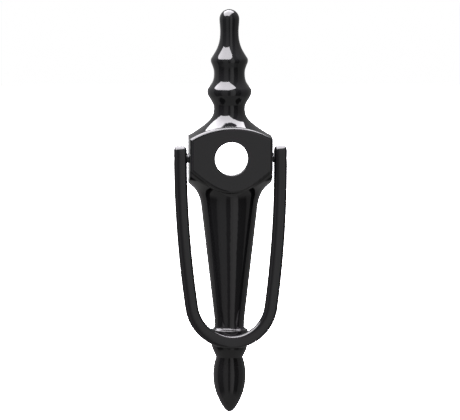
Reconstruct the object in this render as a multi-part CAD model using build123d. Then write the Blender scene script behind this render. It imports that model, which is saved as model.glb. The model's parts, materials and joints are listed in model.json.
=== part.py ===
from build123d import *
import os
from math import asin, atan2, degrees, sqrt

# Urn door knocker with a viewer hole: a half-round casting that stands on the door, and a
# U-shaped ring that hangs from two pivot pins at its sides and strikes the collar near its foot.
#
# Frame: X to the right, Y into the door, Z up. The origin is where the viewer hole's axis
# meets the back face. The pivot axis is level with that hole.

# ------------------------------------------------------------------ driving dimensions, mm

# casting
AXIS_Y = -2.0               # turning axis of the half-round form; walls run straight back to y = 0
BOSS_HALF = 20.1            # half-width across the boss's flat sides
FACE_Y = -16.0              # flat front of the boss
FACE_EDGE = 1.6             # rounding of the boss's front edges
FACE_TOP = 15.35            # crown of the face's arched top edge
FACE_TOP_R = 37.6           # radius of that arch
FACE_FOOT = -17.0           # lowest point of the face's bottom edge, a hyperbola
FACE_FOOT_FOCUS = 16.0      # larger bends it less sharply at the middle
FACE_FOOT_SPREAD = 0.89     # larger makes its legs flatter
TAPER_TOP = (13.5, -26.0)   # half-width and height where the stem's straight taper begins
TAPER_FOOT = (7.8, -75.0)   # and where it ends
TAPER_DEPTH = 0.82          # the tapered stem is flatter than round: depth over half-width
TAIL_DEPTH = 0.95           # the same for the collar and the drop under it
LEDGE_Z = -84.0             # the collar's upward ledge
COLLAR_SIDE_R = 9.0         # half-width of the collar below that ledge
VIEWER_R = 8.0              # viewer hole through the boss's front wall, for a 14 mm door viewer
VIEWER_WALL = 4.0           # thickness of that wall
VIEWER_ROOM_R = 10.5        # the wider core behind it
VIEWER_CHAMFER = 0.2        # broken edge of the hole

# coring of the stem's back
CELL_DRAFT = 18.0           # degrees
CELL_WALL = 3.6             # casting wall beside a cell, at the back face
CELLS = ((-26.0, -41.0, 7.6), (-44.5, -60.0, 5.6))     # top, foot and depth of each stem cell

# fixing inserts, brass, M5
INSERT_R = 3.3
INSERT_LENGTH = 5.6
INSERT_BORE_R = 2.1         # M5 thread, drawn at its minor diameter
INSERT_MOUTH = 0.4          # chamfer where the bolt enters
INSERT_GROOVE = 0.4         # depth of the groove round its middle
INSERT_GROOVE_W = 1.2
INSERT_SET_BACK = 0.2       # below the back face
INSERT_HEIGHTS = {"upper_fixing_insert": 31.0, "lower_fixing_insert": -73.0}

# pivots
PIVOT_Y = -8.0              # middle of the boss's depth
PIN_R = 1.5
PIN_FOOT_X = 12.6           # inner end, in the boss's blind bore
PIN_BORE_CLEAR = 0.3        # air past the pin's end in the blind bore
PIN_END_X = 26.9            # outer end, just inside the arm's outer face
FLANGE_R = 2.4              # spacer washer and bush flange
WASHER_T = 0.5
AXIAL_CLEAR = 0.15          # between the washer and the bush's flange
FLANGE_SEAT = 0.05          # between the bush's flange and the arm
RUNNING_CLEAR = 0.05        # radial, pin in bush
BUSH_SLEEVE_R = 2.0

# ring
ARM_X = 24.3                # middle of each arm at the pivot
ARM_WIDTH = 6.3
RING_DEPTH = 5.6
ARM_TOP = 5.9               # above the pivot
ARM_CURVE_R = 520.0         # slow inward curve of the arms
BOW_R = 19.4                # middle of the bottom bow
ARM_END_R = 2.6             # rounding over the arm's end, front to back
RING_EDGE_R = 1.5           # rounding along the bar

# studs that meet at the knock
STUD_SHANK_R = 1.5
STUD_SHANK = 3.0
STUD_HEAD_R = 2.5
STUD_RIM = 0.9              # height of the head's straight side
STUD_DOME = 0.15            # rise of the head's crown
STUD_SUNK = 0.45            # how deep the head sits in its seat
STUD_GAP = 0.3              # air between the two crowns at rest

# ------------------------------------------------------------------ worked out from these

BOW_DROP = sqrt((ARM_CURVE_R - BOW_R) ** 2 - (ARM_CURVE_R - ARM_X) ** 2)
STRIKE_DROP = BOW_DROP + BOW_R              # pivot to the middle of the bow
COLLAR_FRONT_Y = AXIS_Y - TAIL_DEPTH * COLLAR_SIDE_R
STUD_PROUD = STUD_RIM + STUD_DOME - STUD_SUNK
RING_MID_Y = COLLAR_FRONT_Y - 2 * STUD_PROUD - STUD_GAP - RING_DEPTH / 2
LEAN = degrees(asin((PIVOT_Y - RING_MID_Y) / STRIKE_DROP))
ARM_INNER_X = ARM_X - ARM_WIDTH / 2
FLANGE_X = BOSS_HALF + WASHER_T + AXIAL_CLEAR

DOWN = (0, -1)
FAR = 200.0                 # larger than the part in any direction
FRONT_PLANE = Plane.XZ      # local x to the right, local y up, facing out of the door


# ------------------------------------------------------------------ turned outlines, (radius, z)

def wave(*stations, start=DOWN, end=DOWN):
    """Smooth stretch of a turned outline. It is upright at both ends unless told otherwise."""
    return Spline(*stations, tangents=[start, end])


def finial_outline():
    """Knob, waist, two beads with a neck between them, and the flare into the boss."""
    bulb_r = 4.75
    bulb_z = 66.95
    flare_end = (24.6, 8.6)
    return [
        Line((0, 0), (0, bulb_z + bulb_r)),
        CenterArc((0, bulb_z), bulb_r, 0, 90),
        wave((bulb_r, bulb_z), (4.4, 61.0)),
        wave((4.4, 61.0), (4.95, 55.6), (6.5, 51.6), (8.6, 48.2), (8.97, 46.8)),
        wave((8.97, 46.8), (8.55, 45.3), (7.97, 43.8), (7.4, 40.5)),
        wave((7.4, 40.5), (8.4, 36.0), (10.02, 33.8), (10.7, 31.8)),
        wave((10.7, 31.8), (9.35, 28.3), (8.18, 26.3), (7.5, 23.4)),
        wave((7.5, 23.4), (8.0, 20.5), (11.0, 16.7), (16.25, 12.85), flare_end, end=(2.2, -1)),
        Line(flare_end, (flare_end[0], 0)),
        Line((flare_end[0], 0), (0, 0)),
    ]


def stem_outline():
    """Flare out of the boss, long straight taper, and the small root on the collar."""
    flare_start = (24.6, -8.7)
    waist_r = 7.2
    root_r = 1.4
    slope = (TAPER_FOOT[0] - TAPER_TOP[0], TAPER_FOOT[1] - TAPER_TOP[1])
    root_z = LEDGE_Z + root_r
    return [
        Line((0, 0), (flare_start[0], 0)),
        Line((flare_start[0], 0), flare_start),
        wave(flare_start, (20.2, -12.4), (16.3, -16.3), (14.5, -20.2), TAPER_TOP,
             start=(-1.1, -1), end=slope),
        Line(TAPER_TOP, TAPER_FOOT),
        wave(TAPER_FOOT, (waist_r, root_z), start=slope),
        CenterArc((waist_r + root_r, root_z), root_r, 180, 90),
        Line((waist_r + root_r, LEDGE_Z), (0, LEDGE_Z)),
        Line((0, LEDGE_Z), (0, 0)),
    ]


def tail_outline():
    """Collar with its ledge, the groove under it, and the drop."""
    lip_r = 0.7
    ledge_r = COLLAR_SIDE_R - lip_r
    lip_z = LEDGE_Z - lip_r
    groove = (6.47, -97.8)
    tip_edge = (2.3, -123.55)
    tip_slope = (-0.85, -1)
    tip_z = -124.8
    return [
        Line((0, tip_z), (0, LEDGE_Z)),
        Line((0, LEDGE_Z), (ledge_r, LEDGE_Z)),
        CenterArc((ledge_r, lip_z), lip_r, 0, 90),
        wave((COLLAR_SIDE_R, lip_z), (8.95, -90.4), (8.5, -93.4), (7.5, -95.7), groove,
             end=(-0.6, -1)),
        wave(groove, (7.5, -101.4), (7.98, -107.3), (7.1, -113.7), (5.25, -118.7), (3.68, -121.66),
             tip_edge, start=(0.4, -1), end=tip_slope),
        wave(tip_edge, (0, tip_z), start=tip_slope, end=(-1, 0)),
    ]


def half_round(curves, depth_ratio):
    """Turn the outline, keep its front half, and flatten that to depth_ratio of round."""
    section = FRONT_PLANE * make_face(curves)
    turned = revolve(section, Axis.Z)
    front = turned & Pos(0, -FAR / 2, 0) * Box(FAR, FAR, 2 * FAR)
    if depth_ratio != 1:
        front = scale(front, by=(1, depth_ratio, 1))
    wall = extrude(section + mirror(section, Plane.YZ), AXIS_Y)
    return Pos(0, AXIS_Y, 0) * front, Pos(0, AXIS_Y, 0) * wall


# ------------------------------------------------------------------ casting

def face_top():
    """Arched top edge of the boss's front, before rounding."""
    drop = FACE_TOP_R - sqrt(FACE_TOP_R ** 2 - BOSS_HALF ** 2)
    return ThreePointArc((-BOSS_HALF, FACE_TOP - drop), (0, FACE_TOP), (BOSS_HALF, FACE_TOP - drop))


def face_foot():
    """Bottom edge of the boss's front: the hyperbola that a flat leaves on a flare."""
    steps = 4
    stations = [BOSS_HALF * i / steps for i in range(-steps, steps + 1)]
    rise = [(sqrt(FACE_FOOT_FOCUS ** 2 + x ** 2) - FACE_FOOT_FOCUS) / FACE_FOOT_SPREAD
            for x in stations]
    return Spline(*[(x, FACE_FOOT + up) for x, up in zip(stations, rise)])


def boss_block():
    """Block with the flat front face. Its front edges are rounded all the way round."""
    top = face_top()
    foot = face_foot()
    sides = [Line(top @ i, foot @ i) for i in (0, 1)]
    block = extrude(FRONT_PLANE * make_face([top, foot, *sides]), -FACE_Y)
    return fillet(block.faces().sort_by(Axis.Y)[0].edges(), FACE_EDGE)


def stem_radius(z):
    """Half-width of the straight taper at a height."""
    (top_r, top_z), (foot_r, foot_z) = TAPER_TOP, TAPER_FOOT
    return top_r + (top_z - z) * (foot_r - top_r) / (top_z - foot_z)


def stem_cell(top, foot, depth):
    """Drafted core pocket in the back of the stem, between cross ribs."""
    corners = [(side * (stem_radius(z) - CELL_WALL), z)
               for side, z in ((-1, top), (1, top), (1, foot), (-1, foot))]
    outline = FRONT_PLANE * make_face(Polyline(*corners, close=True))
    return extrude(outline, depth, taper=CELL_DRAFT)


def along_y(radius, y_from, y_to, z=0.0):
    """Cylinder on an axis square to the door."""
    length = y_to - y_from
    return Pos(0, (y_from + y_to) / 2, z) * Rot(90, 0, 0) * Cylinder(radius, length)


def along_x(radius, x_from, x_to, y=PIVOT_Y):
    """Cylinder on the pivot axis."""
    return Pos((x_from + x_to) / 2, y, 0) * Rot(0, 90, 0) * Cylinder(radius, x_to - x_from)


def make_casting(strike_stud):
    clip_depth = -FACE_Y - FACE_EDGE
    clip = Pos(0, -clip_depth / 2, 0) * Box(2 * BOSS_HALF, clip_depth, 2 * FAR)
    body = boss_block()
    for curves, ratio in ((finial_outline(), 1.0), (stem_outline(), TAPER_DEPTH),
                          (tail_outline(), TAIL_DEPTH)):
        for piece in half_round(curves, ratio):
            body += piece & clip

    body -= along_y(VIEWER_R, FACE_Y - 1, 1)
    rim = [e for e in body.edges().filter_by(GeomType.CIRCLE)
           if abs(e.radius - VIEWER_R) < 0.01 and abs(e.center().Y - FACE_Y) < 0.01]
    body = chamfer(rim, VIEWER_CHAMFER)
    body -= along_y(VIEWER_ROOM_R, FACE_Y + VIEWER_WALL, 1)

    for cell in CELLS:
        body -= stem_cell(*cell)
    for side in (-1, 1):
        bore = along_x(PIN_R, PIN_FOOT_X - PIN_BORE_CLEAR, BOSS_HALF + 1)
        body -= bore if side > 0 else mirror(bore, Plane.YZ)
    for z in INSERT_HEIGHTS.values():
        body -= along_y(INSERT_R, -INSERT_LENGTH - INSERT_SET_BACK, 1, z)
    body -= strike_stud
    return body


# ------------------------------------------------------------------ small fixed pieces

def make_insert(z):
    """Threaded insert cast into the back, with a groove round it that keys it in the zinc."""
    outer_y = -INSERT_SET_BACK
    middle = outer_y - INSERT_LENGTH / 2
    groove_ends = (middle - INSERT_GROOVE_W / 2, middle + INSERT_GROOVE_W / 2)
    insert = along_y(INSERT_R, outer_y - INSERT_LENGTH, outer_y, z)
    insert -= along_y(INSERT_R, *groove_ends, z) - along_y(INSERT_R - INSERT_GROOVE, *groove_ends, z)
    insert -= along_y(INSERT_BORE_R, outer_y - INSERT_LENGTH, 1, z)
    mouth = insert.edges().filter_by(GeomType.CIRCLE).group_by(Axis.Y)[-1].sort_by(SortBy.RADIUS)[0]
    return chamfer(mouth, INSERT_MOUTH)


def make_stud():
    """Domed stud with its seat at the origin, its shank to +Z and its crown towards -Z."""
    crown_r = (STUD_HEAD_R ** 2 + STUD_DOME ** 2) / (2 * STUD_DOME)
    crown_z = -STUD_RIM - STUD_DOME
    crown_turn = degrees(asin(STUD_HEAD_R / crown_r))
    profile = make_face([
        Line((0, crown_z), (0, STUD_SHANK)),
        Line((0, STUD_SHANK), (STUD_SHANK_R, STUD_SHANK)),
        Line((STUD_SHANK_R, STUD_SHANK), (STUD_SHANK_R, 0)),
        Line((STUD_SHANK_R, 0), (STUD_HEAD_R, 0)),
        Line((STUD_HEAD_R, 0), (STUD_HEAD_R, -STUD_RIM)),
        CenterArc((0, crown_z + crown_r), crown_r, -90, crown_turn),
    ])
    return revolve(Plane.XZ * profile, Axis.Z)


def make_strike_stud():
    """Stud in the front of the collar, square to the ring at rest."""
    seat_y = COLLAR_FRONT_Y + STUD_SUNK
    return Pos(0, seat_y, -STRIKE_DROP) * Rot(-90 - LEAN, 0, 0) * make_stud()


def make_pin():
    return along_x(PIN_R, PIN_FOOT_X, PIN_END_X)


def make_washer():
    return along_x(FLANGE_R, BOSS_HALF, BOSS_HALF + WASHER_T) - make_pin()


# ------------------------------------------------------------------ ring and what rides on it

def hang(piece):
    """Place a piece modelled in the ring's own plane: on the pivot axis, leaning out."""
    return Pos(0, PIVOT_Y, 0) * Rot(-LEAN, 0, 0) * piece


def arm_line(offset):
    """One edge of the right arm, from its end down to where the bow begins."""
    radius = ARM_CURVE_R + offset
    centre_x = ARM_X - ARM_CURVE_R
    low = atan2(-BOW_DROP, ARM_CURVE_R - ARM_X)
    high = asin(ARM_TOP / radius)
    return CenterArc((centre_x, 0), radius, degrees(low), degrees(high - low))


def ring_outline():
    """The U: two slowly curved arms, tangent to the bow."""
    half = ARM_WIDTH / 2
    turn = degrees(atan2(BOW_DROP, ARM_CURVE_R - ARM_X))
    curves = []
    for offset in (-half, half):
        arm = arm_line(offset)
        curves += [arm, mirror(arm, Plane.YZ)]
        curves.append(CenterArc((0, -BOW_DROP), BOW_R + offset, 180 + turn, 180 - 2 * turn))
    ends = [arm_line(offset) @ 1 for offset in (-half, half)]
    for side in (-1, 1):
        curves.append(Line((side * ends[0].X, ends[0].Y), (side * ends[1].X, ends[1].Y)))
    return make_face(curves)


def make_ring(bush, hammer_stud):
    ring = Pos(0, RING_DEPTH / 2, 0) * extrude(FRONT_PLANE * ring_outline(), RING_DEPTH)
    end_edges = ring.edges().filter_by(Axis.X)
    ring = fillet(end_edges, ARM_END_R)
    across = ring.edges().filter_by(Axis.X)
    seams = [e for e in ring.edges().filter_by(Axis.Y) if e.length > RING_DEPTH / 2]
    ring = fillet(ring.edges() - across - ShapeList(seams), RING_EDGE_R)
    for side_bush in (bush, mirror(bush, Plane.YZ)):
        ring -= side_bush
    bore = along_x(BUSH_SLEEVE_R, ARM_INNER_X - 1, ARM_X + ARM_WIDTH, 0)
    ring -= bore + mirror(bore, Plane.YZ)
    return ring - hammer_stud


def make_bush():
    """Flanged bush in the arm, in the ring's plane."""
    sleeve = along_x(BUSH_SLEEVE_R, FLANGE_X, PIN_END_X, 0)
    flange = along_x(FLANGE_R, FLANGE_X, ARM_INNER_X - FLANGE_SEAT, 0)
    return sleeve + flange - along_x(PIN_R + RUNNING_CLEAR, FLANGE_X - 1, PIN_END_X + 1, 0)


def make_hammer_stud():
    """Stud in the back of the bow, in the ring's plane."""
    seat_y = RING_DEPTH / 2 - STUD_SUNK
    return Pos(0, seat_y, -STRIKE_DROP) * Rot(90, 0, 0) * make_stud()


# ------------------------------------------------------------------ assembly

def make_nodes():
    strike_stud = make_strike_stud()
    inserts = {name: make_insert(z) for name, z in INSERT_HEIGHTS.items()}
    pin = make_pin()
    washer = make_washer()
    bush = make_bush()
    hammer_stud = make_hammer_stud()
    return {
        "body_casting": make_casting(strike_stud),
        **inserts,
        "pivot_pin_right": pin,
        "pivot_pin_left": mirror(pin, Plane.YZ),
        "spacer_washer_right": washer,
        "spacer_washer_left": mirror(washer, Plane.YZ),
        "strike_stud": strike_stud,
        "knocker_ring": hang(make_ring(bush, hammer_stud)),
        "pivot_bush_right": hang(bush),
        "pivot_bush_left": hang(mirror(bush, Plane.YZ)),
        "hammer_stud": hang(hammer_stud),
    }


os.makedirs("parts", exist_ok=True)
for name, shape in make_nodes().items():
    export_step(shape, f"parts/{name}.step")
print(f"ring leans out {LEAN:.2f} degrees at rest; strike point {STRIKE_DROP:.2f} mm below the pivot")
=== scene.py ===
# %% [markdown]
# # A black urn door knocker, dressed in Blender
# The knocker is a zinc die casting that bolts to a door, with a U-shaped ring that hangs from two
# steel pins and strikes the casting near its foot. The CAD model already holds every shape that
# has to work. This script gives those shapes their real surfaces, models afresh the pieces whose
# fine detail CAD leaves out, and lights the result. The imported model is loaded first. Its bodies
# never move here: each new piece rides on one of them.

# %% Load the frame
import json
import math

import bmesh
import bpy
from mathutils import Matrix, Vector


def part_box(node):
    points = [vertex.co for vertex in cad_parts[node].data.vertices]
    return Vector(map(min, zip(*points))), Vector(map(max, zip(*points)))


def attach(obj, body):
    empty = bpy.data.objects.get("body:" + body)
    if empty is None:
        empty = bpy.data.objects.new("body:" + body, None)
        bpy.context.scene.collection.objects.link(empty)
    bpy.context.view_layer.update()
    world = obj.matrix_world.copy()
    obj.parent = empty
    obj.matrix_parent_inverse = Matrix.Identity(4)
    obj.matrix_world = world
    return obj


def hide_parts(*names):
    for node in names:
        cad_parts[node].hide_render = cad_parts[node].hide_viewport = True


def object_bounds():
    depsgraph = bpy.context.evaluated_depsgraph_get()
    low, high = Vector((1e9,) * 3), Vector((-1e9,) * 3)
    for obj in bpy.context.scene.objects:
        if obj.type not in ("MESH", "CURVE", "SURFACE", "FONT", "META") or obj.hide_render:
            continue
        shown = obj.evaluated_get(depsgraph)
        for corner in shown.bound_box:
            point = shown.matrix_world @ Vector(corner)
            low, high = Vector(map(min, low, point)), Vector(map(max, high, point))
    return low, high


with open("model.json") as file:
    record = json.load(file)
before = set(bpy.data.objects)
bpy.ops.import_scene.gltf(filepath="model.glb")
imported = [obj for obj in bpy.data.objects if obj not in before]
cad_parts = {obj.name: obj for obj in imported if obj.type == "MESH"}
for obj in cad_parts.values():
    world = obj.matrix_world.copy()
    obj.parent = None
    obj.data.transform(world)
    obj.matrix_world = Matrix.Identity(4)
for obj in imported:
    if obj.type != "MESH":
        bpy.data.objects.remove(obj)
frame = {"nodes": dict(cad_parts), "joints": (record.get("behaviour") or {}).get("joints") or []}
CAD_LOW, CAD_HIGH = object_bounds()
MM = 0.001                                       # the scene is in metres
PIVOT = Vector(frame["joints"][0]["pos_m"])      # a point on the axis that the ring swings about
print("box in mm:", [round(side / MM, 1) for side in CAD_HIGH - CAD_LOW])

# %% [markdown]
# ## Helpers for materials
# Colours are written as the hex values that a paint chart or a picture editor shows. Those are
# display values, and shaders want linear light, so one function turns them round. Another adds a
# shader node with its options and its links in one call, which keeps each material readable.

# %% Colour and node helpers
def linear(hex_colour):
    """Linear RGBA of an sRGB colour such as 1a1a1b."""
    channels = [int(hex_colour[i:i + 2], 16) / 255 for i in (0, 2, 4)]
    return [c / 12.92 if c <= 0.04045 else ((c + 0.055) / 1.055) ** 2.4 for c in channels] + [1.0]


def add(tree, kind, inputs=None, **options):
    """Add a node. Each entry of inputs gives a socket a value, or links it to another socket."""
    made = tree.nodes.new("ShaderNode" + kind)
    for option, value in options.items():
        setattr(made, option, value)
    for socket, value in (inputs or {}).items():
        if isinstance(value, bpy.types.NodeSocket):
            tree.links.new(value, made.inputs[socket])
        else:
            made.inputs[socket].default_value = value
    return made


def new_material(name):
    """An empty node material: the material and its tree."""
    material = bpy.data.materials.new(name)
    material.use_nodes = True
    material.node_tree.nodes.clear()
    return material, material.node_tree


# %% [markdown]
# ## Stoved gloss enamel
# The casting and the ring are sprayed with black enamel and baked. Baked enamel is a smooth, hard
# film with the gloss of wet paint, and it is so dark that nearly all the eye sees is reflection.
# Paint pulls back from sharp edges and rounds them, and it never dries quite level: a faint orange
# peel, about two millimetres from crest to crest, makes straight reflections swim a little. At the
# back, where little paint lands, the grain of the casting shows through and the gloss is lost.
# A plain glossy black would look like plastic. These three effects are what make it paint on metal.

# %% Enamel
PEEL_PITCH = 2.2 * MM
PEEL_HEIGHT = 0.005 * MM
GRAIN_PITCH = 1.3 * MM           # skin of a die casting, three times as coarse so that it shows
GRAIN_HEIGHT = 0.09 * MM
PAINTED_EDGE = 0.25 * MM         # radius that the film leaves on an edge
HAZE_PITCH = 14 * MM             # faint handling haze
HAZE_ROUGHNESS = (0.035, 0.085)  # clean and hazy gloss
BARE_ROUGHNESS = 0.42            # where the gloss is lost
ENAMEL_IOR = 1.5
BACK_FACING = (0.35, 0.8)        # how far a face looks back before the paint thins, and thins fully
THIN_GRAIN = (0.35, 0.7)         # how proud the grain stands before metal greys the paint


def make_enamel(name, bareness):
    """Enamel whose back faces lose their gloss by a share from 0 to 1."""
    material, tree = new_material(name)
    place = add(tree, "TexCoord")
    facing = add(tree, "SeparateXYZ", {"Vector": place.outputs["Normal"]})
    bare = add(tree, "MapRange", {"Value": facing.outputs["Y"], "From Min": BACK_FACING[0],
                                  "From Max": BACK_FACING[1], "To Max": bareness})
    haze = add(tree, "TexNoise", {"Vector": place.outputs["Object"], "Scale": 1 / HAZE_PITCH,
                                  "Detail": 5.0, "Roughness": 0.6})
    gloss = add(tree, "MapRange", {"Value": haze.outputs["Fac"], "From Min": 0.35, "From Max": 0.75,
                                   "To Min": HAZE_ROUGHNESS[0], "To Max": HAZE_ROUGHNESS[1]})
    roughness = add(tree, "Mix", {"Factor": bare.outputs[0], "A": gloss.outputs[0],
                                  "B": BARE_ROUGHNESS})
    peel = add(tree, "TexNoise", {"Vector": place.outputs["Object"], "Scale": 1 / PEEL_PITCH,
                                  "Detail": 1.0, "Roughness": 0.4})
    grain = add(tree, "TexNoise", {"Vector": place.outputs["Object"], "Scale": 1 / GRAIN_PITCH,
                                   "Detail": 3.0})
    cast_skin = add(tree, "Math", {0: grain.outputs["Fac"], 1: bare.outputs[0]},
                    operation="MULTIPLY")
    edge = add(tree, "Bevel", {"Radius": PAINTED_EDGE}, samples=4)
    level = add(tree, "Bump", {"Height": peel.outputs["Fac"], "Distance": PEEL_HEIGHT,
                               "Normal": edge.outputs["Normal"]})
    surface = add(tree, "Bump", {"Height": cast_skin.outputs[0], "Distance": GRAIN_HEIGHT,
                                 "Normal": level.outputs["Normal"]})
    thin_spots = add(tree, "MapRange", {"Value": cast_skin.outputs[0], "From Min": THIN_GRAIN[0],
                                        "From Max": THIN_GRAIN[1]})
    film = add(tree, "Mix", {"Factor": thin_spots.outputs[0], "A": linear("141415"),
                             "B": linear("343436")}, data_type="RGBA")
    enamel = add(tree, "BsdfPrincipled", {
        "Base Color": film.outputs[2], "Roughness": roughness.outputs[0], "IOR": ENAMEL_IOR,
        "Normal": surface.outputs["Normal"]})
    add(tree, "OutputMaterial", {"Surface": enamel.outputs["BSDF"]})
    return material


# To the eye: deep black with mirror-like highlights that swim a little, and a dull, grainy back.
CASTING_ENAMEL = make_enamel("gloss_black_stoved_enamel_thin_at_back", 1.0)
# The same gloss, but all round, because the ring is sprayed from every side.
RING_ENAMEL = make_enamel("gloss_black_stoved_enamel_all_round", 0.0)
frame["nodes"]["body_casting"].material_slots[0].material = CASTING_ENAMEL
print(CASTING_ENAMEL.name, "nodes:", len(CASTING_ENAMEL.node_tree.nodes))

# %% [markdown]
# ## The small metals and the plastic
# Four finishes hide inside the knocker. The fixing inserts are turned brass, and each cut of the
# tool leaves a fine ring. The pins are ground steel, with grinding lines that run round them. The
# studs are nickel-plated, bright, with dull scuffs from knocking. The washers and bushes are moulded
# black acetal, a slippery plastic with a soft shine. The real tool marks and the grain of the mould
# are finer than a picture can show, so they are drawn about four times as coarse. Marks that run one
# way are made from noise that is squeezed across them and stretched along them.

# %% Metals and acetal
TOOL_PITCH = 0.16 * MM           # tool and grinding lines, drawn four times as coarse
TOOL_DEPTH = 0.004 * MM
KNOCK_PITCH = 0.5 * MM           # scuffs from knocking, as large as real ones
MOULD_GRAIN = 0.35 * MM          # skin of moulded plastic, drawn four times as coarse
ACETAL_IOR = 1.48


def fine_marks(tree, stretch, pitch):
    """Fine lines or grain: noise whose grains are long along the axes where stretch is small."""
    place = add(tree, "TexCoord")
    squeezed = add(tree, "Mapping", {"Vector": place.outputs["Object"], "Scale": stretch})
    return add(tree, "TexNoise", {"Vector": squeezed.outputs[0], "Scale": 1 / pitch,
                                  "Detail": 2.0})


def make_metal(name, colour, dull, rough, smooth, stretch):
    """A worked metal whose colour and roughness follow its tool marks."""
    material, tree = new_material(name)
    marks = fine_marks(tree, stretch, TOOL_PITCH)
    tone = add(tree, "Mix", {"Factor": marks.outputs["Fac"], "A": linear(colour),
                             "B": linear(dull)}, data_type="RGBA")
    polish = add(tree, "MapRange", {"Value": marks.outputs["Fac"], "From Min": 0.3, "From Max": 0.7,
                                    "To Min": smooth, "To Max": rough})
    relief = add(tree, "Bump", {"Height": marks.outputs["Fac"], "Distance": TOOL_DEPTH})
    metal = add(tree, "BsdfPrincipled", {
        "Base Color": tone.outputs[2], "Metallic": 1.0, "Roughness": polish.outputs[0],
        "Normal": relief.outputs["Normal"]})
    add(tree, "OutputMaterial", {"Surface": metal.outputs["BSDF"]})
    return material


def make_nickel():
    """Plating that is bright where it is whole and dull where it is scuffed."""
    material, tree = new_material("nickel_plated_steel_knock_worn")
    scuffs = fine_marks(tree, (1, 1, 1), KNOCK_PITCH)
    worn = add(tree, "MapRange", {"Value": scuffs.outputs["Fac"], "From Min": 0.45,
                                  "From Max": 0.65})
    tone = add(tree, "Mix", {"Factor": worn.outputs[0], "A": linear("bfb9ad"),
                             "B": linear("8f8d89")}, data_type="RGBA")
    polish = add(tree, "MapRange", {"Value": scuffs.outputs["Fac"], "From Min": 0.4,
                                    "From Max": 0.7, "To Min": 0.14, "To Max": 0.42})
    relief = add(tree, "Bump", {"Height": scuffs.outputs["Fac"], "Distance": TOOL_DEPTH})
    nickel = add(tree, "BsdfPrincipled", {
        "Base Color": tone.outputs[2], "Metallic": 1.0, "Roughness": polish.outputs[0],
        "Normal": relief.outputs["Normal"]})
    add(tree, "OutputMaterial", {"Surface": nickel.outputs["BSDF"]})
    return material


def make_acetal():
    """Black plastic with a soft, slightly uneven shine."""
    material, tree = new_material("moulded_black_acetal")
    skin = fine_marks(tree, (1, 1, 1), MOULD_GRAIN)
    tone = add(tree, "Mix", {"Factor": skin.outputs["Fac"], "A": linear("101011"),
                             "B": linear("1b1b1d")}, data_type="RGBA")
    polish = add(tree, "MapRange", {"Value": skin.outputs["Fac"], "To Min": 0.16, "To Max": 0.34})
    relief = add(tree, "Bump", {"Height": skin.outputs["Fac"], "Distance": TOOL_DEPTH})
    acetal = add(tree, "BsdfPrincipled", {
        "Base Color": tone.outputs[2], "Roughness": polish.outputs[0], "IOR": ACETAL_IOR,
        "Normal": relief.outputs["Normal"]})
    add(tree, "OutputMaterial", {"Surface": acetal.outputs["BSDF"]})
    return material


# To the eye: warm yellow with fine rings, brown where the tool left a groove.
BRASS = make_metal("turned_brass", "c79a4e", "8d6a33", 0.42, 0.22, (0.15, 1, 0.15))
# To the eye: cool grey, bright along the grinding lines.
STEEL = make_metal("ground_stainless_steel", "a9abac", "77797b", 0.36, 0.18, (1, 0.12, 0.12))
# To the eye: a warm white metal with duller scuffs.
NICKEL = make_nickel()
# To the eye: nearly black, with broad, soft highlights.
ACETAL = make_acetal()
print([m.name for m in (BRASS, STEEL, NICKEL, ACETAL)])

# %% [markdown]
# ## Helpers for modelling
# Each new piece starts as a primitive and is shaped in edit mode. Edit-mode tools act on whatever
# is selected, so one helper selects edges or faces by the place of their middle. Their numbers are
# no help, because they change with every cut. The other helpers close a mesh and turn its faces
# outwards, shade it, say what a piece rides on and what it is made of, and hide the CAD node that
# it stands for.

# %% Modelling helpers
ROUND = 72                       # faces round a turned piece or a drilled hole
HAIR = 0.01 * MM                 # places nearer than this count as the same
MERGE = 0.001 * MM               # points nearer than this are merged
SELECT_MODE = {"edges": "EDGE", "faces": "FACE"}


def start_piece(primitive, **settings):
    """Add a primitive, put its place in its mesh, and open it to edit, with nothing else picked."""
    bpy.ops.object.select_all(action="DESELECT")
    primitive(**settings)
    bpy.ops.object.transform_apply(location=True, rotation=True, scale=True)
    bpy.ops.object.mode_set(mode="EDIT")
    return bpy.context.object


def pick(piece, kind, test):
    """Select only the edges or faces whose middle passes the test."""
    mesh = bmesh.from_edit_mesh(piece.data)
    bpy.ops.mesh.select_all(action="DESELECT")
    bpy.ops.mesh.select_mode(type=SELECT_MODE[kind])
    for item in getattr(mesh, kind):
        middle = sum((v.co for v in item.verts), Vector()) / len(item.verts)
        if test(middle):
            item.select_set(True)
    bmesh.update_edit_mesh(piece.data)


def close_piece():
    """Merge doubles, turn faces outwards, and leave edit mode."""
    bpy.ops.mesh.select_all(action="SELECT")
    bpy.ops.mesh.remove_doubles(threshold=MERGE)
    bpy.ops.mesh.normals_make_consistent(inside=False)
    bpy.ops.object.mode_set(mode="OBJECT")


def select_only(piece):
    """Make a piece the one that the next operator works on."""
    bpy.ops.object.select_all(action="DESELECT")
    piece.select_set(True)
    bpy.context.view_layer.objects.active = piece


def shade(piece, crease=30):
    """Smooth shading, except over edges sharper than the crease in degrees."""
    select_only(piece)
    bpy.ops.object.shade_smooth_by_angle(angle=math.radians(crease))


def dress(piece, name, body, material, node):
    """Name a finished piece, give it its material and its body, and hide the CAD node it stands for.
    """
    piece.name = piece.data.name = name
    piece.data.materials.clear()
    piece.data.materials.append(material)
    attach(piece, body)
    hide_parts(node)
    print(name, "faces:", len(piece.data.polygons))


def apply_modifier(piece, kind, **settings):
    """Add a modifier and apply it at once."""
    modifier = piece.modifiers.new(kind.lower(), kind)
    for setting, value in settings.items():
        setattr(modifier, setting, value)
    bpy.context.view_layer.objects.active = piece
    bpy.ops.object.modifier_apply(modifier=modifier.name)


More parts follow.
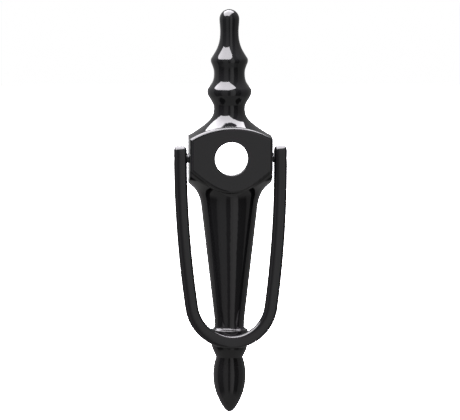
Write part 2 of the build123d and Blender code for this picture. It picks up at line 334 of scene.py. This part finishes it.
# %% [markdown]
# ## The ring
# The ring is a casting of its own: a rounded bar, bent into a U, with a bore through each end. The
# natural way to make it is the way a bar is bent. A section is drawn at the bottom of the bow, spun
# a quarter turn round the middle of the bow, and spun again, by a few degrees, about a centre half
# a metre away, which gives the arm its slow curve. The end is drawn in step by step to a rounded
# top. A mirror then makes the other half. The mesh that results is all even four-sided faces, which
# is what a mirror-like paint needs: any unevenness would show as a kink in the reflections.
#
# At rest the ring hangs a few degrees out, and its largest flat face in the CAD says how many. The
# bar is easier to bend upright, so it is made in the ring's own plane, where the pivot is at the
# origin and the arms hang straight down, and tilted into place at the end.

# %% The ring's own plane
LOOKS_FORWARD = -0.9             # a face that points forwards has its normal's Y below this


def lean_matrix(node):
    """Turn and place of the ring's own plane: about the pivot, by the slope of its flat front."""
    faces = frame["nodes"][node].data.polygons
    front = max((f for f in faces if f.normal.y < LOOKS_FORWARD), key=lambda f: f.area).normal
    lean = math.atan2(front.z, -front.y)
    print("ring leans out", round(math.degrees(lean), 2), "degrees")
    return Matrix.Translation(PIVOT) @ Matrix.Rotation(-lean, 4, "X")


RING_PLANE = lean_matrix("knocker_ring")


def in_ring_plane(node):
    """A node's box in the ring's own plane, where the arms hang straight down."""
    back = RING_PLANE.inverted()
    points = [back @ v.co for v in frame["nodes"][node].data.vertices]
    return [Vector(ends(p[axis] for p in points) for axis in range(3)) for ends in (min, max)]


# %% [markdown]
# ## Bending the bar
# The half ring is made in the order that the words above give: section, bow, arm, end. The numbers
# of steps are chosen so that each step of a curve is about a millimetre long or less in the bow and
# the end, and a few millimetres in the arm, which is nearly straight.

# %% Ring
ARM_WIDTH = 6.3 * MM
ARM_CURVE = 520.0 * MM           # radius of the arm's slow curve
BOW_R = 19.4 * MM                # middle of the bottom bow
SIDE_EDGE = 1.5 * MM             # rounding along the bar
END_EDGE = 2.6 * MM              # rounding over the arm's end, front to back
EDGE_STEPS = 8
BOW_STEPS = 40
ARM_STEPS = 36
END_STEPS = 8


def make_ring():
    """The whole ring without its holes, upright in its own plane, and where its arms stand."""
    low, high = in_ring_plane("knocker_ring")
    depth = high.y - low.y
    arm_x = high.x - ARM_WIDTH / 2
    bow_z = low.z + ARM_WIDTH / 2 + BOW_R
    foot = (0, 0, bow_z - BOW_R)
    ring = start_piece(bpy.ops.mesh.primitive_plane_add, size=1, location=foot,
                       rotation=(0, math.pi / 2, 0))
    bpy.ops.transform.resize(value=(1, depth, ARM_WIDTH), center_override=foot)
    bpy.ops.mesh.bevel(offset=SIDE_EDGE, segments=EDGE_STEPS, affect="VERTICES",
                       clamp_overlap=False)
    bpy.ops.mesh.delete(type="ONLY_FACE")
    bpy.ops.mesh.select_all(action="SELECT")
    turn = math.atan2(-bow_z, ARM_CURVE - arm_x)         # the arm's slope where it meets the bow
    bpy.ops.mesh.spin(steps=BOW_STEPS, angle=math.pi / 2 - turn, center=(0, 0, bow_z),
                      axis=(0, 1, 0))
    centre_x = arm_x - ARM_CURVE
    rise = math.asin((high.z - END_EDGE) / ARM_CURVE)
    bpy.ops.mesh.spin(steps=ARM_STEPS, angle=turn + rise, center=(centre_x, 0, 0), axis=(0, 1, 0))
    width, thick, height = 1.0, 1.0, 0.0
    for step in range(1, END_STEPS + 1):
        angle = math.pi / 2 * step / END_STEPS
        new_width = 1 - SIDE_EDGE * (1 - math.cos(angle)) / (ARM_WIDTH / 2)
        new_thick = 1 - END_EDGE * (1 - math.cos(angle)) / (depth / 2)
        new_height = END_EDGE * math.sin(angle)
        bpy.ops.mesh.extrude_region_move(
            TRANSFORM_OT_translate={"value": (0, 0, new_height - height)})
        bpy.ops.transform.resize(value=(new_width / width, new_thick / thick, 1),
                                 center_override=(arm_x, 0, high.z))
        width, thick, height = new_width, new_thick, new_height
    bpy.ops.mesh.edge_face_add()
    close_piece()
    apply_modifier(ring, "MIRROR", use_clip=True, merge_threshold=MERGE)
    return ring, arm_x


ring, ARM_X = make_ring()
print("ring points:", len(ring.data.vertices), "arm middle in mm:", round(ARM_X / MM, 2))

# %% [markdown]
# ## Bores and stud seat
# A drilled hole is a cut, so the holes are cut as a driller would cut them: a round cutter is laid
# where the drill goes, and a boolean modifier takes it out of the ring. The cutters have enough
# faces for the hole's rim to look round. Each arm gets a bore for its bush, and the back of the bow
# gets a stepped hole for the stud's head and shank. With its holes drilled, the ring is tilted into
# place and painted.

# %% Bores
BORE_R = 2.0 * MM
HEAD_R = 2.5 * MM                # the stud's head, and its seat in the back of the bow
SEAT_SUNK = 0.45 * MM            # how deep the head sits
SHANK_R = 1.5 * MM
SHANK = 3.0 * MM
ACROSS = (0, math.pi / 2, 0)     # turns a cylinder along X
FROM_BACK = (math.pi / 2, 0, 0)  # turns a cylinder along Y
RING_CREASE = 28


def cut_round(piece, radius, middle, length, turn):
    """Cut a round hole through a piece with a boolean."""
    bpy.ops.object.select_all(action="DESELECT")
    bpy.ops.mesh.primitive_cylinder_add(vertices=ROUND, radius=radius, depth=length,
                                        location=middle, rotation=turn)
    cutter = bpy.context.object
    apply_modifier(piece, "BOOLEAN", object=cutter, operation="DIFFERENCE", solver="EXACT")
    bpy.data.objects.remove(cutter)


for side in (-1, 1):
    cut_round(ring, BORE_R, (side * ARM_X, 0, 0), 3 * ARM_WIDTH / 2, ACROSS)
ring_low, ring_high = in_ring_plane("knocker_ring")
seat_z = ring_low.z + ARM_WIDTH / 2
cut_round(ring, HEAD_R, (0, ring_high.y, seat_z), 2 * SEAT_SUNK, FROM_BACK)
cut_round(ring, SHANK_R, (0, ring_high.y, seat_z), 2 * (SEAT_SUNK + SHANK), FROM_BACK)
ring.matrix_world = RING_PLANE
select_only(ring)
bpy.ops.object.transform_apply(location=True, rotation=True, scale=True)
shade(ring, RING_CREASE)
dress(ring, "painted_ring", "ring", RING_ENAMEL, "knocker_ring")

# %% [markdown]
# ## Pins
# Each side of the boss carries a ground steel pin that the ring swings on. It starts as a cylinder
# as large as its CAD box, and its ends are eased by rounding their rims, so that it presses in
# without cutting the zinc. The rims are found by place and radius, because a bevel of every
# selected edge would round the lines along the pin too.

# %% Pins
PIN_EDGE = 0.3 * MM
RIM_STEPS = 3
PIN_LOW, PIN_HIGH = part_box("pivot_pin_right")
PIN_R = (PIN_HIGH.z - PIN_LOW.z) / 2


def lay_cylinder(low, high):
    """A cylinder on the pivot axis that fills the box between two corners."""
    return start_piece(bpy.ops.mesh.primitive_cylinder_add, vertices=ROUND,
                       radius=(high.z - low.z) / 2, depth=high.x - low.x,
                       location=((low.x + high.x) / 2, PIVOT.y, PIVOT.z), rotation=ACROSS)


def soften(piece, width, *rims):
    """Round some rims. Each is (place along X, radius)."""
    pick(piece, "edges", lambda c: any(
        abs(c.x - place) < HAIR and abs((c - PIVOT).yz.length - radius) < HAIR
        for place, radius in rims))
    bpy.ops.mesh.bevel(offset=width, segments=RIM_STEPS, affect="EDGES")


def make_pin():
    """The right-hand pin."""
    pin = lay_cylinder(PIN_LOW, PIN_HIGH)
    soften(pin, PIN_EDGE, (PIN_LOW.x, PIN_R), (PIN_HIGH.x, PIN_R))
    close_piece()
    shade(pin)
    return pin


print("pin mm:", round(2 * PIN_R / MM, 2), "x", round((PIN_HIGH.x - PIN_LOW.x) / MM, 2))

# %% [markdown]
# ## Washers and bushes
# A thin washer keeps the arm off the boss, and a bush with a flange fills the arm's bore. Both are
# plastic tubes. A tube is a cylinder whose two end faces are inset to the size of the bore and then
# bridged, which opens the hole and builds its wall in one step. The bush starts as its flange, and
# the flange's outer face is inset and pulled out to make the sleeve.

# %% Washers and bushes
RUNNING_CLEAR = 0.05 * MM        # radial, pin in bush
PLASTIC_EDGE = 0.08 * MM
FLANGE = 0.35 * MM               # thickness of the bush's flange


def open_bore(piece, ends, bore_r):
    """Inset the end faces to the bore and bridge them. Each end is (place along X, radius)."""
    for place, radius in ends:
        pick(piece, "faces", lambda c: abs(c.x - place) < HAIR and (c - PIVOT).yz.length < HAIR)
        bpy.ops.mesh.inset(thickness=radius - bore_r, use_even_offset=True)
    places = [place for place, _ in ends]
    pick(piece, "faces", lambda c: any(abs(c.x - place) < HAIR for place in places)
         and (c - PIVOT).yz.length < HAIR)
    bpy.ops.mesh.bridge_edge_loops()


def make_washer():
    """The right-hand washer, which fits the pin tightly."""
    low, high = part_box("spacer_washer_right")
    washer = lay_cylinder(low, high)
    radius = (high.z - low.z) / 2
    open_bore(washer, [(low.x, radius), (high.x, radius)], PIN_R)
    soften(washer, PLASTIC_EDGE, (low.x, radius), (high.x, radius))
    close_piece()
    shade(washer)
    return washer


def make_bush():
    """The right-hand bush, which turns on the pin."""
    low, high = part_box("pivot_bush_right")
    flange_r = (high.z - low.z) / 2
    flange_x = low.x + FLANGE
    bush = lay_cylinder(low, Vector((flange_x, high.y, high.z)))
    pick(bush, "faces", lambda c: abs(c.x - flange_x) < HAIR)
    bpy.ops.mesh.inset(thickness=flange_r - BORE_R, use_even_offset=True)
    bpy.ops.mesh.extrude_region_move(TRANSFORM_OT_translate={"value": (high.x - flange_x, 0, 0)})
    open_bore(bush, [(low.x, flange_r), (high.x, BORE_R)], PIN_R + RUNNING_CLEAR)
    soften(bush, PLASTIC_EDGE, (low.x, flange_r), (flange_x, flange_r), (high.x, BORE_R))
    close_piece()
    shade(bush)
    return bush


# %% [markdown]
# ## Both sides of the pivot
# The left-hand pieces are mirror images, so each is modelled once, on the right, and copied with a
# mesh of its own. Mirroring turns a mesh inside out, so its faces are flipped back. The pin and the
# washer stay with the casting, and the bush swings with the ring.

# %% Pivot pieces, right and left
def other_side(piece):
    """A mirrored copy with its own mesh, faces turned outwards again."""
    copy = bpy.data.objects.new(piece.name, piece.data.copy())
    bpy.context.collection.objects.link(copy)
    copy.data.transform(Matrix.Scale(-1, 4, (1, 0, 0)))
    copy.data.flip_normals()
    return copy


for make, name, body, slot, material in (
        (make_pin, "pivot_pin", "casting", "pin_steel", STEEL),
        (make_washer, "spacer_washer", "casting", "black_acetal", ACETAL),
        (make_bush, "pivot_bush", "ring", "black_acetal", ACETAL)):
    right = make()
    left = other_side(right)
    dress(right, "turned_" + name + "_right", body, material, name + "_right")
    dress(left, "turned_" + name + "_left", body, material, name + "_left")

# %% [markdown]
# ## Studs
# Two studs take the knock, one in the collar and one in the ring. Each has a low crowned head on a
# plain shank, pressed into its casting. The crown is built the way a form tool cuts it: the head's
# face is inset ring by ring, and each ring stands a little prouder, along an arc. A small radius
# breaks the rim. The stud is modelled once at the origin, copied, and set in its two places.

# %% Studs
HEAD_RIM = 0.9 * MM              # height of the head's side
HEAD_CROWN = 0.15 * MM           # rise of its crown
CROWN_RINGS = 8
RIM_RADIUS = 0.18 * MM
STUD_CREASE = 35


def crown_rise(radius):
    """How far the crown stands over its rim at this radius."""
    crown_r = (HEAD_R ** 2 + HEAD_CROWN ** 2) / (2 * HEAD_CROWN)
    return math.sqrt(crown_r ** 2 - radius ** 2) - (crown_r - HEAD_CROWN)


def make_stud():
    """A stud at the origin: its head below, its shank upwards."""
    stud = start_piece(bpy.ops.mesh.primitive_cylinder_add, vertices=ROUND, radius=HEAD_R,
                       depth=HEAD_RIM, location=(0, 0, -HEAD_RIM / 2))
    pick(stud, "faces", lambda c: abs(c.z) < HAIR)
    bpy.ops.mesh.inset(thickness=HEAD_R - SHANK_R, use_even_offset=True)
    bpy.ops.mesh.extrude_region_move(TRANSFORM_OT_translate={"value": (0, 0, SHANK)})
    pick(stud, "faces", lambda c: abs(c.z + HEAD_RIM) < HAIR)
    radii = [HEAD_R * (1 - step / CROWN_RINGS) for step in range(CROWN_RINGS)]
    for outer, inner in zip(radii, radii[1:]):
        bpy.ops.mesh.inset(thickness=outer - inner, depth=crown_rise(inner) - crown_rise(outer))
    pick(stud, "edges", lambda c: abs(c.z + HEAD_RIM) < HAIR
         and abs(c.xy.length - HEAD_R) < HAIR)
    bpy.ops.mesh.bevel(offset=RIM_RADIUS, segments=RIM_STEPS, affect="EDGES")
    close_piece()
    shade(stud, STUD_CREASE)
    return stud


def seat_stud(stud, turn, seat):
    """Put the stud's mesh in its place: a turn about X, then a move to its seat."""
    stud.data.transform(Matrix.Translation(seat) @ Matrix.Rotation(turn, 4, "X"))
    stud.data.update()


RING_TURN = RING_PLANE.to_euler().x
ring_stud = make_stud()
collar_stud = bpy.data.objects.new("collar_stud", ring_stud.data.copy())
bpy.context.collection.objects.link(collar_stud)
seat_stud(ring_stud, RING_TURN + math.pi / 2,
          RING_PLANE @ Vector((0, ring_high.y - SEAT_SUNK, seat_z)))
# The collar's stud leans as the ring does, so the rearmost point is on the rim of its shank.
shank_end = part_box("strike_stud")[1].y
seat_y = shank_end - SHANK * math.cos(RING_TURN) - SHANK_R * math.sin(-RING_TURN)
seat_stud(collar_stud, RING_TURN - math.pi / 2, Vector((0, seat_y, seat_z)))
dress(ring_stud, "crowned_stud_ring", "ring", NICKEL, "hammer_stud")
dress(collar_stud, "crowned_stud_collar", "casting", NICKEL, "strike_stud")
print("studs meet at mm:", round(seat_y / MM, 2), round(seat_z / MM, 2))

# %% [markdown]
# ## Threaded inserts
# Zinc is too soft to hold a thread for long, so two brass inserts are cast into the back for the
# bolts that come through the door. A groove round the middle keys each one in the zinc. The end
# face is inset to the width of the thread, a countersink leads in, and then the bore is sunk in
# half pitches that step out to the crest and in to the root. A true thread climbs as it turns,
# which these level grooves don't, but at this size they catch the light in the same way.

# %% Inserts
THREAD_ROOT_R = 2.5 * MM         # M5
THREAD_CREST_R = 2.1 * MM
HALF_PITCH = 0.4 * MM
KEY_WIDTH = 1.2 * MM             # the groove that keys the insert in the zinc
KEY_DEPTH = 0.4 * MM
INSERT_CREASE = 25


def make_insert(node):
    """One insert, at its node's place."""
    low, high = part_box(node)
    radius, length = (high.z - low.z) / 2, high.y - low.y
    middle = (low + high) / 2
    insert = start_piece(bpy.ops.mesh.primitive_cylinder_add, vertices=ROUND, radius=radius,
                         depth=length, location=middle, rotation=FROM_BACK)
    for offset in (-KEY_WIDTH / 2, KEY_WIDTH / 2):
        bpy.ops.mesh.select_all(action="SELECT")
        bpy.ops.mesh.bisect(plane_co=middle + Vector((0, offset, 0)), plane_no=(0, 1, 0))
    pick(insert, "faces", lambda c: abs(c.y - middle.y) < HAIR
         and (c - middle).length > radius / 2)
    bpy.ops.mesh.extrude_region_move(TRANSFORM_OT_translate={"value": (0, 0, 0)})
    keyed = 1 - KEY_DEPTH / radius
    bpy.ops.transform.resize(value=(keyed, 1, keyed), center_override=middle)

    pick(insert, "faces", lambda c: abs(c.y - high.y) < HAIR)
    bpy.ops.mesh.inset(thickness=radius - THREAD_ROOT_R, use_even_offset=True)
    lead_in = THREAD_ROOT_R - THREAD_CREST_R
    bpy.ops.mesh.inset(thickness=lead_in, depth=-lead_in)
    sunk = high.y - lead_in
    spread = THREAD_ROOT_R / THREAD_CREST_R
    while sunk - 2 * HALF_PITCH > low.y:
        for share in (spread, 1 / spread):
            sunk -= HALF_PITCH
            bpy.ops.mesh.extrude_region_move(TRANSFORM_OT_translate={"value": (0, -HALF_PITCH, 0)})
            bpy.ops.transform.resize(value=(share, 1, share),
                                     center_override=(0, sunk, middle.z))
    pick(insert, "faces", lambda c: abs(c.y - low.y) < HAIR)
    bpy.ops.mesh.inset(thickness=radius - THREAD_CREST_R, use_even_offset=True)
    pick(insert, "faces", lambda c: (c - middle).xz.length < HAIR)
    bpy.ops.mesh.bridge_edge_loops()
    close_piece()
    shade(insert, INSERT_CREASE)
    return insert


for place in ("upper", "lower"):
    node = place + "_fixing_insert"
    dress(make_insert(node), "threaded_insert_" + place, "casting", BRASS, node)

# %% [markdown]
# ## Studio light
# Black gloss shows its surroundings and little else, so its light is designed backwards: from the
# bands that run down the turned stem to the panels that make them. Upright white panels and dark
# gaps stand all round the knocker, each at its own bearing. A straight cone draws them as straight
# bands. Under them lies a pale table, which lights the undersides. The panels are painted on the
# world with a colour ramp over the bearing, and fade into the table below. Rays that go straight to
# the camera see white paper instead.

# %% Panels, table and paper
PAPER = 1.0                      # brightness of the background
PANELS = (
    # where each upright panel ends, in degrees from straight in front, and its brightness
    (-94, 0.34), (-48, 0.08), (-38, 0.30), (-13, 0.37), (2, 0.10), (12, 0.54), (29, 0.65),
    (62, 0.08), (180, 0.28),
)
PANEL_SOFT = 1.5                 # degrees over which one panel turns into the next, each way
TABLE = 0.40                     # what the pale table sends up
TABLE_EDGE = (-46, -32)          # degrees of height at which the table ends and the panels begin


def stepped_ramp(ramp_node, steps, low, high, soft):
    """Fill a colour ramp with plateaus. Each step is (where it ends, brightness)."""
    ramp = ramp_node.color_ramp
    stops = [(low, steps[0][1])]
    for (end, level), (_, following) in zip(steps, steps[1:]):
        stops += [(end - soft, level), (end + soft, following)]
    stops.append((high, steps[-1][1]))
    while len(ramp.elements) > 1:
        ramp.elements.remove(ramp.elements[-1])
    for place, level in stops:
        share = (place - low) / (high - low)
        element = ramp.elements[0] if place == low else ramp.elements.new(share)
        element.position = share
        element.color = (level, level, level, 1)


def make_studio():
    """The world: panels and table for reflections, paper for the camera."""
    world = bpy.data.worlds.new("studio")
    bpy.context.scene.world = world
    world.use_nodes = True
    tree = world.node_tree
    tree.nodes.clear()
    toward = add(tree, "TexCoord").outputs["Generated"]
    axes = add(tree, "SeparateXYZ", {"Vector": toward}).outputs
    ahead = add(tree, "Math", {0: axes["Y"], 1: -1.0}, operation="MULTIPLY")
    bearing = add(tree, "Math", {0: axes["X"], 1: ahead.outputs[0]}, operation="ARCTAN2")
    round_share = add(tree, "MapRange", {"Value": bearing.outputs[0], "From Min": -math.pi,
                                         "From Max": math.pi})
    panels = add(tree, "ValToRGB", {"Fac": round_share.outputs[0]})
    stepped_ramp(panels, PANELS, -180, 180, PANEL_SOFT)
    height = add(tree, "Math", {0: axes["Z"]}, operation="ARCSINE")
    above_table = add(tree, "MapRange", {
        "Value": height.outputs[0], "From Min": math.radians(TABLE_EDGE[0]),
        "From Max": math.radians(TABLE_EDGE[1])}, interpolation_type="SMOOTHSTEP")
    room = add(tree, "Mix", {"Factor": above_table.outputs[0], "A": (TABLE, TABLE, TABLE, 1),
                             "B": panels.outputs["Color"]}, data_type="RGBA")
    reflected = add(tree, "Background", {"Color": room.outputs[2]})
    paper = add(tree, "Background", {"Color": (PAPER, PAPER, PAPER, 1)})
    path = add(tree, "LightPath")
    seen = add(tree, "MixShader", {0: path.outputs["Is Camera Ray"], 1: reflected.outputs[0],
                                   2: paper.outputs[0]})
    add(tree, "OutputWorld", {"Surface": seen.outputs[0]})


make_studio()
print("panels:", len(PANELS), "world nodes:", len(bpy.context.scene.world.node_tree.nodes))

# %% [markdown]
# ## Softbox
# A large rectangular softbox hangs overhead, a little to the left and turned, and puts a clean
# highlight on everything that faces up: the beads, the shoulder and the tops of the arms. It is
# much brighter than the panels, because black enamel sends back only a few hundredths of the light
# that meets it squarely. The camera sees only its reflections.

# %% Softbox
BOX_HEIGHT = 2.5                 # metres over the knocker
BOX_WIDTH, BOX_LENGTH = 1.58 * BOX_HEIGHT, 1.90 * BOX_HEIGHT
BOX_PLACE = (-0.396 * BOX_HEIGHT, -0.005 * BOX_HEIGHT, BOX_HEIGHT)
BOX_TURN = math.radians(-29)
BOX_RADIANCE = 13.5
BOX_TINT = (1.0, 0.97, 1.02)     # its cloth casts a trace of mauve


def make_softbox():
    """The area light, with its power worked out from its radiance and size."""
    bpy.ops.object.light_add(type="AREA", location=BOX_PLACE, rotation=(0, 0, BOX_TURN))
    lamp = bpy.context.object
    lamp.name = "overhead_softbox"
    lamp.data.shape = "RECTANGLE"
    lamp.data.size, lamp.data.size_y = BOX_WIDTH, BOX_LENGTH
    lamp.data.energy = BOX_RADIANCE * math.pi * BOX_WIDTH * BOX_LENGTH
    lamp.data.color = BOX_TINT
    lamp.visible_camera = False
    print(lamp.name, "watts:", round(lamp.data.energy))


make_softbox()

# %% [markdown]
# ## Floor
# The knocker is shown on its own, so the floor is only a pale disc well below it, which makes no
# shadow and no horizon. It gives out the same white as the paper background. Hiding it from
# reflections leaves those to the panels above.

# %% Floor
FLOOR_R = 4.0                    # metres
FLOOR_ROUND = 96                 # corners round its edge
FLOOR_Z = CAD_LOW.z - 40 * MM
FIBRE_PITCH = 25 * MM            # faint clouding of the paper, far coarser than its fibres


def make_floor():
    """The pale disc, seen by the camera but not by reflections."""
    bpy.ops.object.select_all(action="DESELECT")
    bpy.ops.mesh.primitive_circle_add(vertices=FLOOR_ROUND, radius=FLOOR_R, fill_type="NGON",
                                      location=(0, 0, FLOOR_Z))
    floor = bpy.context.object
    floor.name = "pale_floor"
    material, tree = new_material("matt_white_paper")
    place = add(tree, "TexCoord")
    fibre = add(tree, "TexNoise", {"Vector": place.outputs["Object"], "Scale": 1 / FIBRE_PITCH,
                                   "Detail": 3.0})
    tone = add(tree, "MapRange", {"Value": fibre.outputs["Fac"], "To Min": 0.99, "To Max": 1.0})
    paper = add(tree, "BsdfPrincipled", {
        "Base Color": tone.outputs[0], "Roughness": 0.9, "Emission Color": (1, 1, 1, 1),
        "Emission Strength": PAPER})
    add(tree, "OutputMaterial", {"Surface": paper.outputs["BSDF"]})
    floor.data.materials.append(material)
    floor.visible_glossy = False
    floor.visible_diffuse = False


make_floor()
print("floor at mm:", round(FLOOR_Z / MM, 1))

# %% [markdown]
# ## Camera
# A long lens keeps the casting's upright edges parallel, as a product picture does. The camera
# stands a little to the left and a little above, so the tops of the beads and of the arms just
# show. It is aimed at a point below the pivot, near the middle of the knocker's height. Colours are
# shown as they are, with no film look laid over them.

# %% Camera
AIM = Vector((-0.30, -8.9, -25.26)) * MM
VIEW_WIDTH = 222.9 * MM          # width of the picture at the aim point
FILM = 36                        # width of the film in mm


def make_camera(azimuth, elevation, distance):
    """Camera that looks at the aim point from two angles in degrees and a distance in metres."""
    camera = bpy.data.objects.new("camera", bpy.data.cameras.new("camera"))
    bpy.context.collection.objects.link(camera)
    camera.data.sensor_width = FILM
    camera.data.lens = camera.data.sensor_width * distance / VIEW_WIDTH
    turn, lift = math.radians(azimuth), math.radians(elevation)
    away = Vector((math.sin(turn) * math.cos(lift), -math.cos(turn) * math.cos(lift),
                   math.sin(lift)))
    camera.location = AIM + away * distance
    camera.rotation_euler = (-away).to_track_quat("-Z", "Y").to_euler()
    bpy.context.scene.camera = camera
    print("lens mm:", round(camera.data.lens))


make_camera(azimuth=-4.4, elevation=5.0, distance=1.6)
bpy.context.scene.view_settings.view_transform = "Standard"
